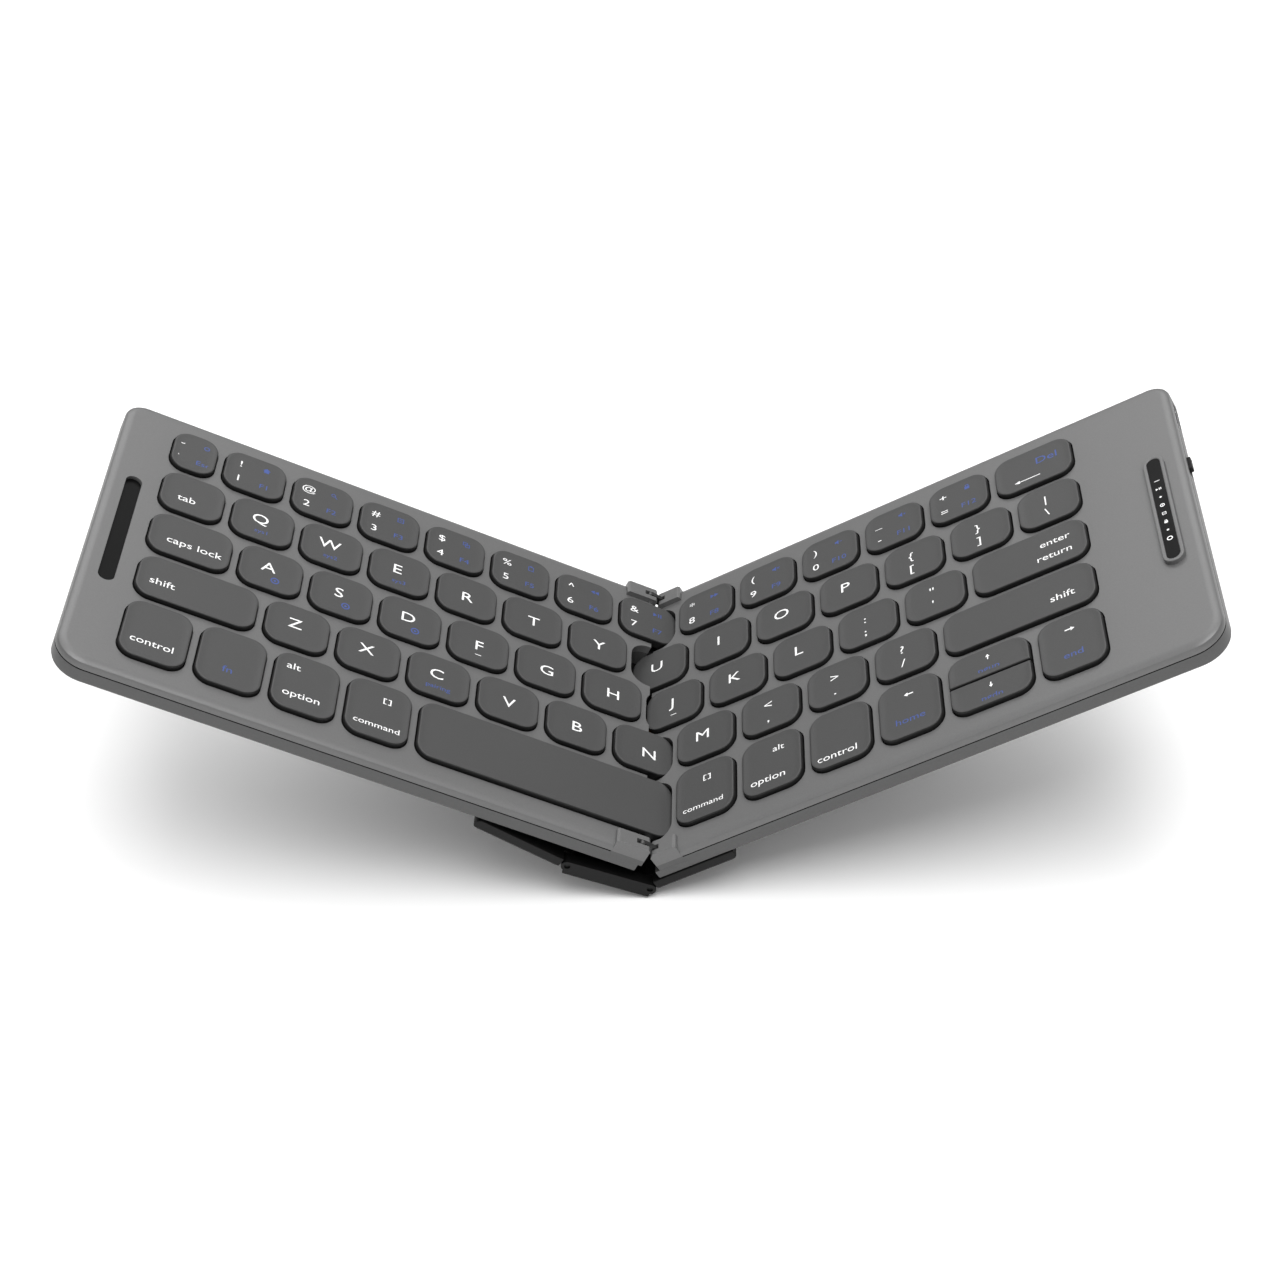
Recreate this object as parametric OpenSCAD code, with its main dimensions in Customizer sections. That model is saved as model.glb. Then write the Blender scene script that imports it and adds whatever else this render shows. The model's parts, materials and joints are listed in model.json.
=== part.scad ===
// Folding keyboard. Two key leaves are joined at the front and the rear by short two-pin links, so
// that the raised keys have room when the leaves close face to face. A three-piece cover runs under
// the fold: a wing fixed to the right leaf, a spine channel, and a wing that slides along the left leaf.
//
// A leaf is drawn flat: x runs outward from the fold, y from the typist to the rear, z is the height
// above the leaf's top face. on_left() and on_right() then put it at the fold angle.

/* [Keys] */
// Distance between neighbouring keys in a row
key_pitch = 18; // [17.6:0.1:18.4]
// Distance between the four upper rows
row_pitch = 16.65; // [16.4:0.05:17.2]
// Depth of the openings of the bottom row
bottom_opening = 19.45; // [18:0.05:20.5]
// Web between neighbouring openings in a row
web = 1.6; // [1.4:0.1:1.9]
// Web between two rows
row_web = 1.75; // [1.5:0.05:2]
// Gap around a keycap
key_gap = 0.3; // [0.2:0.05:0.4]
// Corner radius of a keycap
key_r = 4.2; // [3.6:0.1:4.8]
// Height of a keycap above the leaf
key_rise = 1.2; // [1:0.1:1.3]
// Chamfer round a keycap's top
key_chamfer = 0.4; // [0.3:0.05:0.5]
// Depth of a keycap, top to skirt
key_height = 2.2; // [2.1:0.1:2.4]
// Thickness of a keycap's top
key_top = 1.1; // [0.9:0.1:1.2]
// How far a key travels
key_travel = 1.2; // [0.9:0.1:1.3]

/* [Leaves] */
// Left leaf's outermost openings to its outer edge
left_margin = 12.8; // [12:0.1:16]
// Front edge of a leaf to the bottom row's openings
front_margin = 6; // [5.8:0.1:7]
// Openings of the top row to a leaf's rear edge
rear_margin = 6; // [5.8:0.1:7]
// Thickness of a leaf
leaf_t = 6.6; // [6.5:0.1:7]
// Depth of the seam between the top case and the bottom case
seam = 2.4; // [2.2:0.1:2.4]
// Radius of a leaf's front corner
front_corner_r = 8; // [6:0.5:10]
// Radius of a leaf's rear corner
rear_corner_r = 5; // [4:0.5:8]
// Thickness of the top face and of the floor
skin = 1; // [0.9:0.1:1.1]
// Thickness of the side walls
wall = 1.2; // [1:0.1:1.4]
// Gap between the two leaves when they lie flat
fold_gap = 0.4; // [0.3:0.05:0.6]

/* [Fold] */
// Angle that the right leaf is lifted from flat
fold_angle = 54.46; // [40:0.01:70]
// Fold line to the left hinge pin
left_pin_x = 3.8; // [3.7:0.05:4]
// Height of the left hinge pin above the leaf
left_pin_z = 0.5; // [0.3:0.05:0.6]
// Thickness of a link
link_t = 1.2; // [1:0.1:1.4]
// Radius of a link's round ends
link_r = 1.1; // [1:0.05:1.2]
// Radius of the hinge pins
pin_r = 0.5; // [0.4:0.05:0.55]
// Radial clearance of a pin that turns
pin_fit = 0.05; // [0.03:0.01:0.08]
// Depth of a hinge block, along the pin
block_d = 4.5; // [4.2:0.1:4.6]
// Height of a hinge block above the leaf
block_rise = 1.4; // [1.3:0.1:1.6]
// Fold line to the left leaf's inner end
left_end = 3; // [2.8:0.1:3.2]

/* [Fold cover] */
// Length of the right wing, from its pivot
right_wing_length = 23.4; // [20:0.2:28]
// Left wing, pivot to the axis of its nose
left_wing_length = 23.8; // [21.6:0.1:26]
// Fold line to the right pivot, inward
pivot_in = 6.6; // [6.4:0.1:6.8]
// Height of the cover's pivots below the leaves
pivot_drop = 1.8; // [1.8:0.1:2.1]
// Radius of the cover's knuckles
knuckle_r = 1.5; // [1.4:0.05:1.6]
// Radius of the cover's pins
cover_pin_r = 0.7; // [0.6:0.05:0.8]
// Tilt of the spine channel from the left leaf
bar_tilt = 4.2; // [3:0.1:6]
// Pivot line to the outside of the spine channel
bar_depth = 3.5; // [3.4:0.1:3.8]
// Wall of the spine channel
bar_wall = 0.8; // [0.7:0.05:0.9]
// Width of the spine channel's end cheeks
cheek = 3; // [2.4:0.1:3.6]
// Chamfer along the wings' lower edges
wing_chamfer = 1.5; // [1:0.1:1.6]
// Chamfer along the cover's lower front and rear edges
end_chamfer = 1.1; // [0.8:0.1:1.3]

/* [Details] */
// Length of the status bar and of the slot that it faces
bar_slot_length = 40; // [36:0.1:46]
// Width of the status bar's bezel
bezel_w = 5.2; // [4.8:0.1:6]
// Width of the left leaf's slot
slot_w = 4; // [3.6:0.1:4.6]
// Height of the bezel above the leaf
bezel_rise = 1.2; // [0.8:0.1:1.5]
// Left leaf's outer edge to the middle of its slot
slot_inset = 6.6; // [5.4:0.1:7.2]
// Right leaf's outer edge to the middle of the bezel
bezel_inset = 7.2; // [6:0.1:8]
// Rim of the bezel around its window
bezel_rim = 0.95; // [0.8:0.05:1.1]
// Charging socket's middle to the leaf's rear edge
socket_back = 11.1; // [11:0.1:14]
// Power switch's middle to the leaf's rear edge
switch_back = 31; // [28:0.1:36]
// Travel of the power switch
switch_travel = 2.2; // [1.8:0.1:2.6]
// Length of the battery
battery_l = 62; // [50:1:70]
// Depth of the battery
battery_d = 44; // [30:1:56]
// Height of the rubber feet
foot_h = 2; // [1:0.1:2.4]

/* [Hidden] */

$fn = 48;
half_fold = fold_angle / 2;
case_colour = [0.50, 0.50, 0.51];
key_colour = [0.30, 0.30, 0.31];
dark = [0.09, 0.09, 0.10];
steel = [0.70, 0.71, 0.73];
board_green = [0.05, 0.25, 0.16];
far = 30; // reach of a cutting block past what it cuts

// Key edges in key pitches from the fold, bottom row first. A row that starts below zero reaches over
// the fold, and the other leaf has a notch there.
function run(first, n) = [for (i = [0:n]) first + i];
left_edges = [
    concat([-0.25], run(3.5, 4)),
    concat(run(-0.25, 6), [7.5]),
    concat(run(0.25, 6), [7.5]),
    run(0.5, 7),
    concat(run(-0.25, 7), [7.5])
];
right_edges = [
    concat(run(0.25, 4), [5.5, 6.5]),
    concat(run(0.25, 4), [6.5]),
    concat(run(-0.25, 5), [6.5]),
    run(-0.5, 7),
    concat(run(0.25, 5), [6.5])
];
rows = [0:4];
function first_edge(edges, row) = edges[row][0];
function last_edge(edges) = edges[0][len(edges[0]) - 1] * key_pitch - web / 2;

// The leaves close by turning about the left hinge pin. The right leaf's fold line ends up at closed_x,
// its top face closed_z above the left leaf's.
close_angle = 180 - fold_angle;
closed_x = left_pin_x * (1 - cos(close_angle)) - left_pin_z * sin(close_angle);
closed_z = left_pin_x * sin(close_angle) + left_pin_z * (1 - cos(close_angle));

// Rows along y
function row_y(row) =
    front_margin + (row == 0 ? 0 : bottom_opening + row_web + (row - 1) * row_pitch);
function row_d(row) = row == 0 ? bottom_opening : row_pitch - row_web;
function band(row) = row > 4 ? row_y(4) + row_d(4) + row_web / 2 : row_y(row) - row_web / 2;
leaf_d = row_y(4) + row_d(4) + rear_margin;
mid_y = leaf_d / 2;

// Leaf lengths from the fold line. The slot faces the status bar when the leaves are closed.
left_length = last_edge(left_edges) + left_margin;
slot_x = left_length - slot_inset;
bezel_x = slot_x - closed_x;
right_length = bezel_x + bezel_inset;

// The support plate's tongues reach just past the keycaps that cross the fold
tongue_lip = 0.1;
function reach(edges, row) =
    max(0, -first_edge(edges, row) * key_pitch - web / 2 - key_gap + tongue_lip);
right_end = fold_gap - left_end;

// Heights inside a leaf, from its top face
floor_z = skin - leaf_t;
plate_t = 0.5;
plate_z = floor_z + 1.7; // underside of the support plate
film_t = 0.2;
film_z = plate_z + plate_t;
key_low = key_rise - key_height;
cap_ceiling = key_rise - key_top;
pocket_in = 1.6; // wall of a keycap
plate_gap = 0.2;
seat_gap = 0.1; // gap between a dome and the boss above it

// Screws
screw_r = 0.7;
screw_head_r = 1.3;
screw_head_h = 0.7;
boss_r = 1.5;
boss_from_edge = 14; // outermost screws, from the leaf's outer edge
function screw_xs(length) = [1.5 * key_pitch, 4 * key_pitch, length - boss_from_edge];
screw_ys = [(wall + front_margin) / 2, leaf_d - (wall + rear_margin) / 2];

// Hinge, drawn at the front end
block_low = -4;
link_length = norm([left_pin_x, left_pin_z]);
left_block_in = left_pin_x - 1.7;
left_block_out = left_pin_x + 6.8;
right_block_out = 5.6;
right_block_in = -1.4;
block_chamfer = 0.5;
link_side = 0.15; // gap beside a link
link_y = block_d / 2;
// The left slot is open as far as the upright link's back
slot_out = left_pin_x + link_side
    + (link_length * link_r + (block_rise - left_pin_z) * (closed_x - left_pin_x))
    / (closed_z - left_pin_z);
bore_start = 0.8;

// Fold cover in the left leaf's coordinates: D, the spine's right pivot, C, its left pivot, E, the nose
pivot_z = -leaf_t - pivot_drop;
bar_length = closed_z - 2 * pivot_z + 0.2; // pivot to pivot when the leaves are closed
pivot_d = [
    cos(fold_angle) * pivot_in + sin(fold_angle) * pivot_z,
    -sin(fold_angle) * pivot_in + cos(fold_angle) * pivot_z
];
pivot_c = pivot_d + bar_length * [cos(bar_tilt), -sin(bar_tilt)];
wing_tilt = asin((pivot_z - pivot_c[1]) / left_wing_length);
wing_low = 2; // pivot line to the left wing's underside
wing_start = knuckle_r + 0.3; // a wing's full width starts this far from its pivot
cheek_gap = 0.2;
bar_corner = 1.5;

// Outer parts of the right leaf
side_z = (floor_z - seam) / 2; // height of the socket and the switch
board_in = last_edge(right_edges) + 2;
board_z = -4.4;
board_t = 0.8;
socket_size = [7.4, 8.9, 3];
socket_y = leaf_d - socket_back;
knob_size = [0.8, 4.5, 1.5];
knob_y = leaf_d - switch_back;
flex_y = [row_y(2) + 3, row_y(2) + 11];
flex_z = floor_z + 0.5;
foot_size = [6, 16];
foot_in = [10, 15]; // middle of a foot, from the leaf's outer and front or rear edges

// The model stands on the spine channel, over the middle of its own outline
bar_slope = half_fold - bar_tilt;
pivot_d_z = pivot_d[0] * sin(half_fold) + pivot_d[1] * cos(half_fold);
low_point = pivot_d_z + sin(bar_slope) - (bar_depth - bar_corner) * cos(bar_slope) - bar_corner;
lower_edge = [0.25, 0.3 - leaf_t];
left_most = (left_length - lower_edge[0]) * cos(half_fold) - lower_edge[1] * sin(half_fold);
right_most = (right_length + knob_size[0]) * cos(half_fold) - (side_z - 0.75) * sin(half_fold);
fold_line = [(left_most - right_most) / 2, -leaf_d / 2, -low_point];

module on_left() {
    translate(fold_line) rotate([0, half_fold, 0]) mirror([1, 0, 0]) children();
}

module on_right() {
    translate(fold_line) rotate([0, -half_fold, 0]) children();
}

// Extrudes a profile drawn in x and z along y, from y0 to y1
module along_y(y0, y1) {
    translate([0, y1, 0]) rotate([90, 0, 0]) linear_extrude(y1 - y0) children();
}

// Extrudes a profile drawn in y and z along x, from x0 to x1
module along_x(x0, x1) {
    translate([x0, 0, 0]) rotate([90, 0, 90]) linear_extrude(x1 - x0) children();
}

module between(z0, z1) {
    translate([0, 0, z0]) linear_extrude(z1 - z0) children();
}

// At the front end and, mirrored, at the rear end
module both_ends() {
    children();
    translate([0, leaf_d, 0]) mirror([0, 1, 0]) children();
}

module rounded(w, d, r) {
    square([w - 2 * r, d], center = true);
    square([w, d - 2 * r], center = true);
    for (i = [-1, 1], j = [-1, 1]) translate([i * (w / 2 - r), j * (d / 2 - r)]) circle(r);
}

module obround(w, d) {
    r = min(w, d) / 2;
    square([w > d ? w - 2 * r : w, d > w ? d - 2 * r : d], center = true);
    for (i = [-1, 1])
        translate(w > d ? [i * (w / 2 - r), 0] : [0, i * (d / 2 - r)]) circle(r);
}

// Block with rounded corners whose top edge is chamfered all round, standing on z = 0
module chamfered_block(w, d, r, h, c) {
    along_y(r - d / 2, d / 2 - r)
        polygon([[-w / 2, 0], [w / 2, 0], [w / 2 - c, h], [c - w / 2, h]]);
    along_x(r - w / 2, w / 2 - r)
        polygon([[-d / 2, 0], [d / 2, 0], [d / 2 - c, h], [c - d / 2, h]]);
    for (i = [-1, 1], j = [-1, 1])
        translate([i * (w / 2 - r), j * (d / 2 - r), 0]) cylinder(h = h, r1 = r, r2 = r - c);
}

// ---- Leaf shells ----

// Front half of a leaf-shaped block, with an outer corner of radius r. The edge profile is a list of
// [inset, z], lowest first.
module half_block(end, length, r, edge) {
    last = len(edge) - 1;
    top = edge[last][1];
    low = edge[0][1];
    along_x(end, length - r)
        polygon(concat([for (p = edge) p], [[mid_y + 1, top], [mid_y + 1, low]]));
    along_y(r, mid_y + 1)
        polygon(concat([for (p = edge) [length - p[0], p[1]]], [[end, top], [end, low]]));
    translate([length - r, r, 0]) rotate_extrude()
        polygon(concat([[0, low]], [for (p = edge) [r - p[0], p[1]]], [[0, top]]));
}

// Leaf-shaped block from x = end outward
module leaf_block(end, length, edge) {
    half_block(end, length, front_corner_r, edge);
    translate([0, leaf_d, 0]) mirror([0, 1, 0]) half_block(end, length, rear_corner_r, edge);
}

// Notches for the other leaf's tongues, as a plan, grown by a wall where asked. Each follows the
// outline of the key that reaches over the fold.
module notch_plan(other, grow = 0) {
    for (row = rows)
        if (reach(other, row) > 0)
            mirror([1, 0]) cell_plan(other, row, 0, key_gap - tongue_lip - fold_gap - grow);
}

module hinge_pocket_plan(end, out, grow = 0) {
    for (y = [-far, leaf_d - block_d - grow])
        translate([end - far, y]) square([out - end + far + grow, block_d + far + grow]);
}

// Space inside a leaf's walls, drawn inward from them by inset
module cavity_plan(end, length, other, out, inset = 0) {
    grow = wall + inset;
    w = length - end - 2 * grow;
    difference() {
        translate([end + grow + w / 2, leaf_d / 2])
            rounded(w, leaf_d - 2 * grow, front_corner_r - grow);
        notch_plan(other, grow);
        hinge_pocket_plan(end, out, grow);
    }
}

// Outline of the keycap, or with a negative inset of the opening, between two edges of a row
module cell_plan(edges, row, i, inset) {
    x0 = edges[row][i] * key_pitch + web / 2 + inset;
    x1 = edges[row][i + 1] * key_pitch - web / 2 - inset;
    d = row_d(row) - 2 * inset;
    translate([(x0 + x1) / 2, row_y(row) + row_d(row) / 2])
        rounded(x1 - x0, d, key_r + key_gap - inset);
}

module openings_plan(edges) {
    for (row = rows, i = [0:len(edges[row]) - 2]) cell_plan(edges, row, i, 0);
}

// Tongues that carry the keys which cross the fold
module tongue_plan(edges, inset = 0) {
    for (row = rows)
        if (reach(edges, row) > 0) cell_plan(edges, row, 0, key_gap - tongue_lip + inset);
}

module top_case(end, length, edges, other, out) {
    top_edge = [[0, -seam], [0, -1.4], [0.25, -0.75], [0.9, -0.25], [2.2, 0]];
    difference() {
        union() {
            difference() {
                leaf_block(end, length, top_edge);
                between(-seam - 1, -skin) cavity_plan(end, length, other, out);
            }
            for (x = screw_xs(length), y = screw_ys)
                translate([x, y, film_z]) cylinder(h = -skin - film_z, r = boss_r);
        }
        between(-seam - 1, 1) openings_plan(edges);
        between(-far, far) notch_plan(other);
        between(block_low, far) hinge_pocket_plan(end, out);
        for (x = screw_xs(length), y = screw_ys)
            translate([x, y, film_z - 1]) cylinder(h = 2, r = screw_r);
    }
}

module bottom_case(end, length, edges, other, out) {
    groove = 0.5;
    bottom_edge = [
        [0.8, -leaf_t], lower_edge, [0, 0.9 - leaf_t], [0, -seam - 0.25], [groove, -seam - 0.25],
        [groove, -seam]
    ];
    difference() {
        union() {
            difference() {
                leaf_block(end, length, bottom_edge);
                between(floor_z, 1) cavity_plan(end, length, other, out);
            }
            for (x = screw_xs(length), y = screw_ys)
                translate([x, y, floor_z]) cylinder(h = plate_z - floor_z, r = boss_r);
        }
        between(-far, far) notch_plan(other);
        between(block_low, far) hinge_pocket_plan(end, out);
        between(plate_z, far) tongue_plan(edges, -0.1);
        for (x = screw_xs(length), y = screw_ys) translate([x, y, -leaf_t - 1]) {
            cylinder(h = leaf_t, r = screw_r);
            cylinder(h = 1 + screw_head_h, r = screw_head_r);
        }
    }
}

module left_top_case() {
    color(case_colour) on_left() difference() {
        top_case(left_end, left_length, left_edges, right_edges, left_block_out);
        translate([slot_x, mid_y, 0]) between(-seam - 1, 1) obround(slot_w, bar_slot_length);
    }
}

module right_top_case() {
    color(case_colour) on_right() difference() {
        top_case(right_end, right_length, right_edges, left_edges, right_block_out);
        translate([bezel_x, mid_y, 0]) between(-seam - 1, 1) obround(bezel_w, bar_slot_length);
    }
}

module flex_slot(end) {
    translate([end - 1, flex_y[0] - 0.3, flex_z - 0.4])
        cube([wall + 2, flex_y[1] - flex_y[0] + 0.6, 0.8]);
}

module left_bottom_case() {
    color(case_colour) on_left() difference() {
        bottom_case(left_end, left_length, left_edges, right_edges, left_block_out);
        flex_slot(reach(right_edges, 2) + fold_gap);
    }
}

// The board's posts stand on the right floor, and the socket and the switch open through the side
module right_bottom_case() {
    color(case_colour) on_right() {
        difference() {
            bottom_case(right_end, right_length, right_edges, left_edges, right_block_out);
            flex_slot(right_end);
            translate([0, socket_y, side_z]) along_x(right_length - wall - 1, right_length + 1)
                obround(socket_size[1] + 0.3, socket_size[2]);
            translate([0, knob_y - switch_travel / 2, side_z])
                along_x(right_length - wall - 1, right_length + 1)
                square([knob_size[1] + switch_travel + 0.4, knob_size[2] + 0.3], center = true);
        }
        for (x = [board_in + 3, right_length - 6], y = [14, 50])
            translate([x, y, floor_z]) cylinder(h = board_z - floor_z, r = boss_r);
    }
}

// ---- Inside the leaves ----

module support_plate(end, length, edges, other, out, outer) {
    between(plate_z, film_z) difference() {
        union() {
            intersection() {
                cavity_plan(end, length, other, out, plate_gap);
                translate([end, 0]) square([outer - end, leaf_d]);
            }
            tongue_plan(edges);
        }
        for (x = screw_xs(length), y = screw_ys) translate([x, y]) circle(screw_r + 0.1);
    }
}

module left_support_plate() {
    color(steel) on_left()
        support_plate(left_end, left_length, left_edges, right_edges, left_block_out,
            left_length - wall - plate_gap);
}

module right_support_plate() {
    color(steel) on_right()
        support_plate(right_end, right_length, right_edges, left_edges, right_block_out,
            board_in - 0.5);
}

module switch_film(end, length, edges, other, out) {
    between(film_z, film_z + film_t) {
        intersection() {
            cavity_plan(end, length, other, out, plate_gap + 0.3);
            translate([end, front_margin]) square([last_edge(edges) - end, leaf_d - front_margin - rear_margin]);
        }
        tongue_plan(edges, 0.3);
    }
}

module left_switch_film() {
    color("silver") on_left()
        switch_film(left_end, left_length, left_edges, right_edges, left_block_out);
}

module right_switch_film() {
    color("silver") on_right()
        switch_film(right_end, right_length, right_edges, left_edges, right_block_out);
}

// Middle of every key of a leaf, with the width of its cap
module at_keys(edges) {
    for (row = rows, i = [0:len(edges[row]) - 2])
        let ($cap_w = (edges[row][i + 1] - edges[row][i]) * key_pitch - web - 2 * key_gap)
        translate([(edges[row][i] + edges[row][i + 1]) / 2 * key_pitch,
            row_y(row) + row_d(row) / 2, 0]) children();
}

module dome() {
    base = film_z + film_t;
    translate([0, 0, base]) cylinder(h = key_low - 0.2 - seat_gap - base, r1 = 2.3, r2 = 1.4);
}

module left_domes() {
    color("whitesmoke") on_left() at_keys(left_edges) dome();
}

module right_domes() {
    color("whitesmoke") on_right() at_keys(right_edges) dome();
}

// Two crossed arms on each side of the dome
module scissor() {
    bar = 0.5;
    low = film_z + film_t + 0.1;
    high = cap_ceiling - 0.1;
    span = min(9, $cap_w - 2 * pocket_in - 0.4);
    lift = atan((high - low - bar) / span);
    for (side = [-1, 1], turn = [-1, 1])
        translate([0, side * 3.6, (low + high) / 2]) rotate([0, turn * lift, 0])
            cube([span, 0.9, bar], center = true);
}

module left_scissors() {
    color("white") on_left() at_keys(left_edges) scissor();
}

module right_scissors() {
    color("white") on_right() at_keys(right_edges) scissor();
}

module battery() {
    color("silver") on_left() translate([4.5 * key_pitch, mid_y, 0])
        between(floor_z, plate_z - 0.1) rounded(battery_l, battery_d, 1.5);
}

// Board with a notch for the socket, a controller, a radio and the body of the switch
module main_board() {
    outer = right_length - wall - 1.6;
    middle = (board_in + outer) / 2;
    size = [outer - board_in, leaf_d - 2 * (wall + 6)];
    socket_notch = [2 * socket_size[0] - 2, socket_size[1] + 0.4];
    controller = [6, 6, 0.9];
    radio = [4, 9, 0.8];
    switch_body = [4, 9, 1.8];
    color(board_green) on_right() {
        between(board_z, board_z + board_t) difference() {
            translate([middle, mid_y]) square(size, center = true);
            translate([outer, socket_y]) square(socket_notch, center = true);
        }
        board_piece(middle - 3, mid_y - 19, controller);
        board_piece(middle - 4, mid_y + 21, radio);
        board_piece(outer - switch_body[0] / 2, knob_y - switch_travel / 2, switch_body);
    }
}

module board_piece(x, y, size) {
    translate([x - size[0] / 2, y - size[1] / 2, board_z + board_t]) cube(size);
}

module left_slot_strip() {
    color(dark) on_left() translate([slot_x, mid_y, 0])
        between(-skin - 0.7, -skin) obround(slot_w + 1.2, bar_slot_length + 1.2);
}

module status_bezel() {
    ledge = 0.4;
    lens = [bezel_w - 2 * bezel_rim, bar_slot_length - 2 * bezel_rim];
    color(case_colour) on_right() translate([bezel_x, mid_y, 0]) difference() {
        between(-skin, bezel_rise) obround(bezel_w, bar_slot_length);
        between(ledge, bezel_rise + 1) obround(lens[0], lens[1]);
        between(-skin - 1, ledge + 1) obround(lens[0] - 1.2, lens[1] - 1.2);
    }
}

module status_window() {
    color(dark) on_right() translate([bezel_x, mid_y, 0])
        between(0.4, bezel_rise - 0.15)
            obround(bezel_w - 2 * bezel_rim, bar_slot_length - 2 * bezel_rim);
}

module charging_socket() {
    mouth = right_length - 0.2;
    color(steel) on_right() translate([0, socket_y, side_z]) {
        difference() {
            along_x(mouth - socket_size[0], mouth) obround(socket_size[1], socket_size[2]);
            along_x(mouth - socket_size[0] + 1, mouth + 1)
                obround(socket_size[1] - 0.6, socket_size[2] - 0.6);
        }
        along_x(mouth - socket_size[0] + 0.9, mouth - 0.8) square([6.7, 0.7], center = true);
    }
}

module power_knob() {
    inner = right_length - wall - 1.1;
    color(dark) on_right() translate([0, knob_y, side_z]) {
        along_x(inner, right_length + knob_size[0])
            square([knob_size[1], knob_size[2]], center = true);
        along_x(inner, inner + 0.9) square([knob_size[1] + 0.6, knob_size[2] + 0.9], center = true);
    }
}

// Screws come up from below through the case and the support plate
module screws(length) {
    for (x = screw_xs(length), y = screw_ys) translate([x, y, -leaf_t]) {
        cylinder(h = leaf_t + film_z + 1, r = screw_r);
        difference() {
            translate([0, 0, 0.1]) cylinder(h = screw_head_h - 0.1, r = screw_head_r);
            translate([0, 0, -0.1]) cylinder(h = 0.5, r = 0.6);
        }
    }
}

module left_screws() {
    color(steel) on_left() screws(left_length);
}

module right_screws() {
    color(steel) on_right() screws(right_length);
}

module feet(length) {
    for (y = [foot_in[1], leaf_d - foot_in[1]])
        translate([length - foot_in[0], y, -leaf_t]) mirror([0, 0, 1])
            between(0, foot_h) obround(foot_size[0], foot_size[1]);
}

module left_feet() {
    color(dark) on_left() feet(left_length);
}

module right_feet() {
    color(dark) on_right() feet(right_length);
}

// ---- Hinge ----

module link_slot(x0, x1) {
    translate([x0, link_y - link_t / 2 - link_side, -link_r - 0.2])
        cube([x1 - x0, link_t + 2 * link_side, link_r + 0.2 + far]);
}

module pin_bore(x, z, r) {
    translate([x, bore_start, z]) rotate([-90, 0, 0]) cylinder(h = block_d, r = r);
}

module left_hinge_blocks() {
    c = block_chamfer;
    color(case_colour) on_left() both_ends() difference() {
        along_y(0, block_d) polygon([
            [left_block_in, block_low], [left_block_out, block_low],
            [left_block_out, block_rise - c], [left_block_out - c, block_rise],
            [left_block_in + c, block_rise], [left_block_in, block_rise - c]
        ]);
        link_slot(0, slot_out);
        pin_bore(left_pin_x, left_pin_z, pin_r);
    }
}

module right_hinge_blocks() {
    c = block_chamfer;
    color(case_colour) on_right() both_ends() difference() {
        along_y(0, block_d) polygon([
            [right_block_in, block_low], [right_block_out, block_low],
            [right_block_out, block_rise - c], [right_block_out - c, block_rise],
            [right_block_in + 2 * c, block_rise], [right_block_in, block_rise - 2 * c]
        ]);
        link_slot(-far, link_r + link_side);
        pin_bore(0, 0, pin_r + pin_fit);
    }
}

module hinge_pin(x, z) {
    translate([x, bore_start + 0.1, z]) rotate([-90, 0, 0])
        cylinder(h = block_d - bore_start - 0.2, r = pin_r);
}

module left_hinge_pins() {
    color(steel) on_left() both_ends() hinge_pin(left_pin_x, left_pin_z);
}

module fold_pins() {
    color(steel) on_left() both_ends() hinge_pin(0, 0);
}

// A link turns on the left pin and holds the fold pin, on which the right block turns
module hinge_links() {
    color(steel) on_left() both_ends()
        along_y(link_y - link_t / 2, link_y + link_t / 2)
        rotate(atan2(left_pin_z, left_pin_x)) difference() {
            union() {
                translate([0, -link_r]) square([link_length, 2 * link_r]);
                for (x = [0, link_length]) translate([x, 0]) circle(link_r);
            }
            circle(pin_r);
            translate([link_length, 0]) circle(pin_r + pin_fit);
        }
}

// Ribbon between the leaves, with a spare loop in the fold
flex_n = 14;
flex_t = 0.16;
function from_right(x, z) = [
    sin(fold_angle) * z - cos(fold_angle) * x, sin(fold_angle) * x + cos(fold_angle) * z
];
flex_a = [reach(right_edges, 2) + fold_gap + wall + 1.5, flex_z];
flex_b = from_right(right_end + wall + 1.5, flex_z);
flex_ends = [flex_a, flex_a - [9, 0], flex_b + 9 * [cos(fold_angle), -sin(fold_angle)], flex_b];
function bezier(p, t) =
    pow(1 - t, 3) * p[0] + 3 * t * pow(1 - t, 2) * p[1] + 3 * t * t * (1 - t) * p[2] + pow(t, 3) * p[3];
function flex_side(t, s) =
    let (d = bezier(flex_ends, t + 0.01) - bezier(flex_ends, t - 0.01))
    bezier(flex_ends, t) + s * flex_t / 2 * [-d[1], d[0]] / norm(d);

module flex_ribbon() {
    steps = [for (i = [0:flex_n]) i / flex_n];
    color("darkgoldenrod") on_left() along_y(flex_y[0], flex_y[1])
        polygon(concat([for (t = steps) flex_side(t, 1)],
            [for (i = [flex_n:-1:0]) flex_side(steps[i], -1)]));
}

// ---- Fold cover ----

module on_bar() {
    on_left() translate([pivot_d[0], 0, pivot_d[1]]) rotate([0, bar_tilt, 0]) children();
}

module on_left_wing() {
    on_left() translate([pivot_c[0], 0, pivot_c[1]]) rotate([0, -wing_tilt, 0]) children();
}

module cover_bore(x, r) {
    translate([x, -far, 0]) rotate([-90, 0, 0]) cylinder(h = leaf_d + 2 * far, r = r);
}

// Chamfers the front and rear edges of an underside at z = low
module chamfered_ends(low) {
    c = end_chamfer;
    intersection() {
        children();
        along_x(-far, 2 * far) polygon([
            [c, low], [0, low + c], [0, far], [leaf_d, far], [leaf_d, low + c], [leaf_d - c, low]
        ]);
    }
}

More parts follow.
